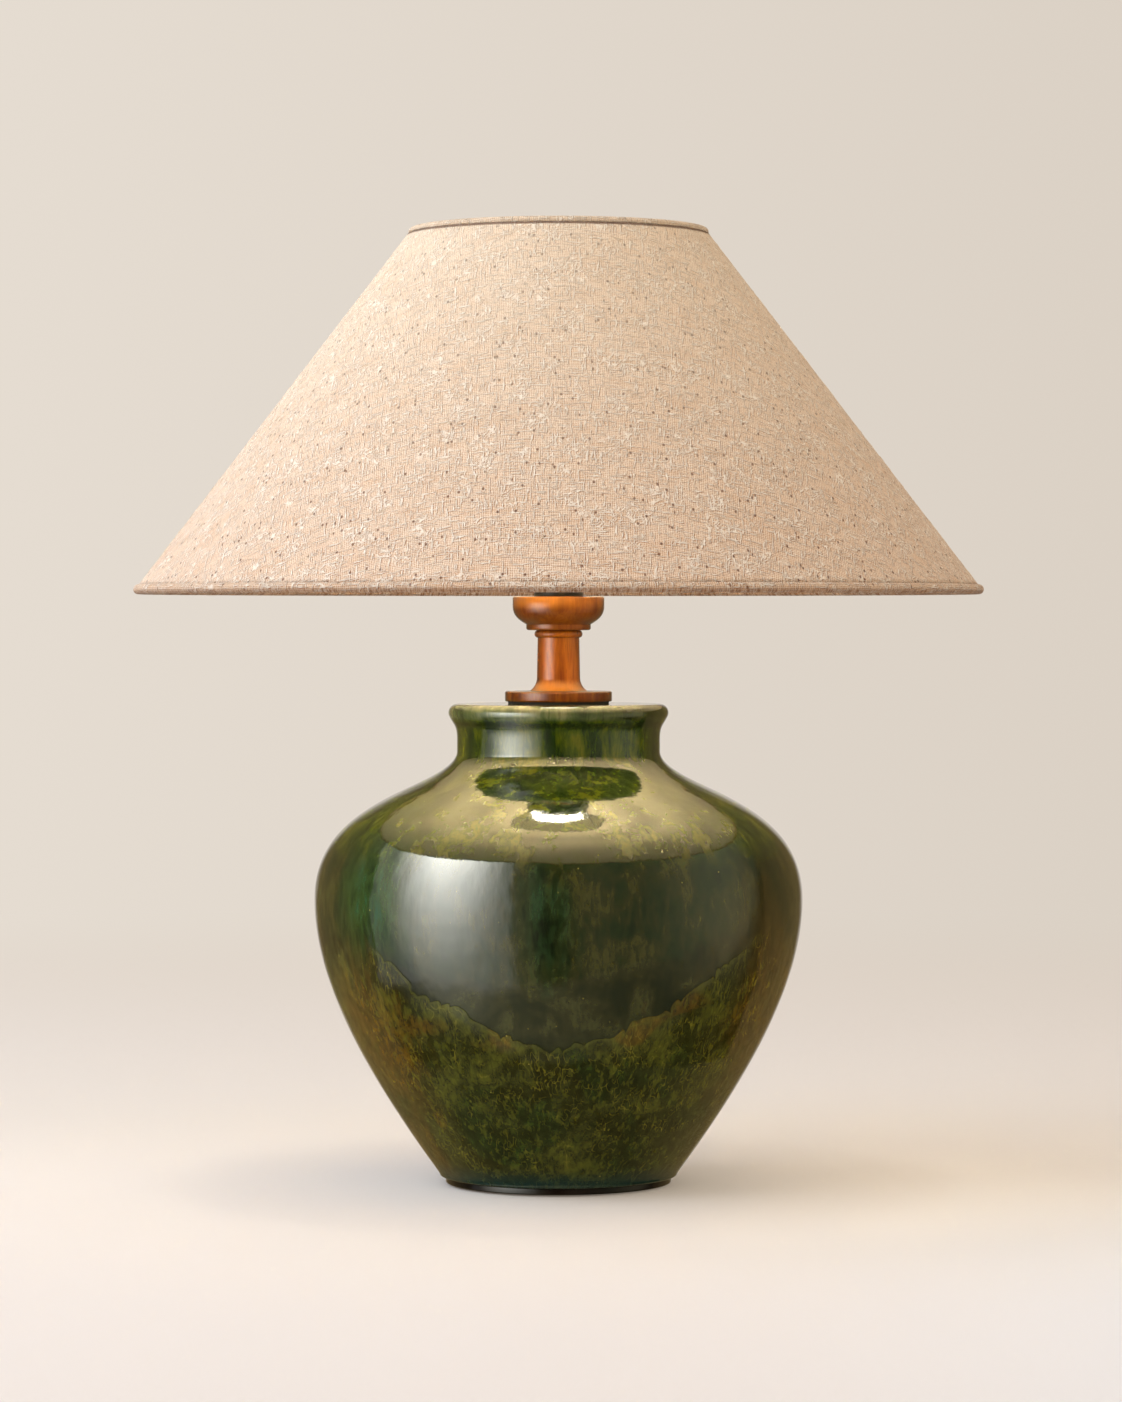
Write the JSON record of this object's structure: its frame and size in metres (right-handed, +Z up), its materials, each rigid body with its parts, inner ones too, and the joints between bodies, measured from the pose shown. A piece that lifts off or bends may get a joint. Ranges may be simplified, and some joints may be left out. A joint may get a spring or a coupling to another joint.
{
  "type": "table lamp",
  "caption": "Bedside lamp: glazed urn on a base plate, turned wood neck and cup, screw lampholder with rotary switch, and a wide conical linen shade on a wire carrier.",
  "frame": {"origin": "middle of the felt's underside, on the table", "axes": "+Z up along the lamp's middle line, -Y to the front where the switch knob is, +Y to the back where the cord outlet is"},
  "size_m": [0.4499, 0.45, 0.5068],
  "materials": {
    "glaze": "gloss",
    "base_enamel": "gloss",
    "felt": "matte",
    "bush_plastic": "satin",
    "gasket_rubber": "matte",
    "wood": "satin",
    "steel": "satin",
    "brass": "satin",
    "holder_plastic": "satin",
    "core_ceramic": "satin",
    "white_wire": "satin",
    "lining": "matte",
    "linen": "matte",
    "trim_linen": "matte",
    "bulb_glass": "gloss",
    "bulb_metal": "satin",
    "bulb_black": "gloss",
    "light_strip": "satin"
  },
  "bodies": {
    "base": {"urn": "glaze", "base_plate": "base_enamel", "base_felt": "felt", "cord_bush": "bush_plastic", "neck_gasket": "gasket_rubber", "wood_neck": "wood", "wood_cup": "wood", "tie_rod": "steel", "bottom_washer": "steel", "bottom_nut": "brass", "clamp_washer": "steel", "clamp_nut": "brass", "holder_cap": "holder_plastic", "rod_insert": "brass", "grub_screw": "steel", "holder_core": "core_ceramic", "core_screws": "steel", "terminal_screws": "brass", "screw_shell": "brass", "centre_contact": "brass", "holder_skirt": "holder_plastic"},
    "shade": {"shade_carrier": "white_wire", "bottom_ring": "white_wire", "shade_lining": "lining", "shade_linen": "linen", "top_trim": "trim_linen", "bottom_trim": "trim_linen"},
    "shade_ring": {"shade_ring": "holder_plastic"},
    "bulb_foot": {"bulb_contact": "bulb_metal"},
    "bulb": {"bulb_glass": "bulb_glass", "bulb_cap": "bulb_metal", "bulb_insulator": "bulb_black", "bulb_stem": "bulb_glass", "bulb_strips": "light_strip"},
    "switch": {"switch_knob": "holder_plastic", "switch_spindle": "brass", "switch_rotor": "core_ceramic"}
  },
  "joints": [
    {"name": "switch_turn", "type": "hinge", "parent": "base", "child": "switch", "pos_m": [0, -0.021, 0.335], "axis": [0, -1, 0], "continuous": true},
    {"name": "shade_turn", "type": "hinge", "parent": "base", "child": "shade", "pos_m": [0, 0, 0.3451], "axis": [0, 0, 1], "continuous": true},
    {"name": "ring_lift", "type": "slide", "parent": "base", "child": "shade_ring", "axis": [0, 0, 1], "range_m": [0, 0.018]},
    {"name": "bulb_lift", "type": "slide", "parent": "base", "child": "bulb_foot", "axis": [0, 0, 1], "range_m": [0, 0.0146]},
    {"name": "bulb_turn", "type": "hinge", "parent": "bulb_foot", "child": "bulb", "pos_m": [0, 0, 0.3468], "axis": [0, 0, 1], "range_deg": [0, 1440]}
  ],
  "couplings": [
    {"joint": "bulb_lift", "follows": "bulb_turn", "m_per_rad": 0.00057757}
  ]
}
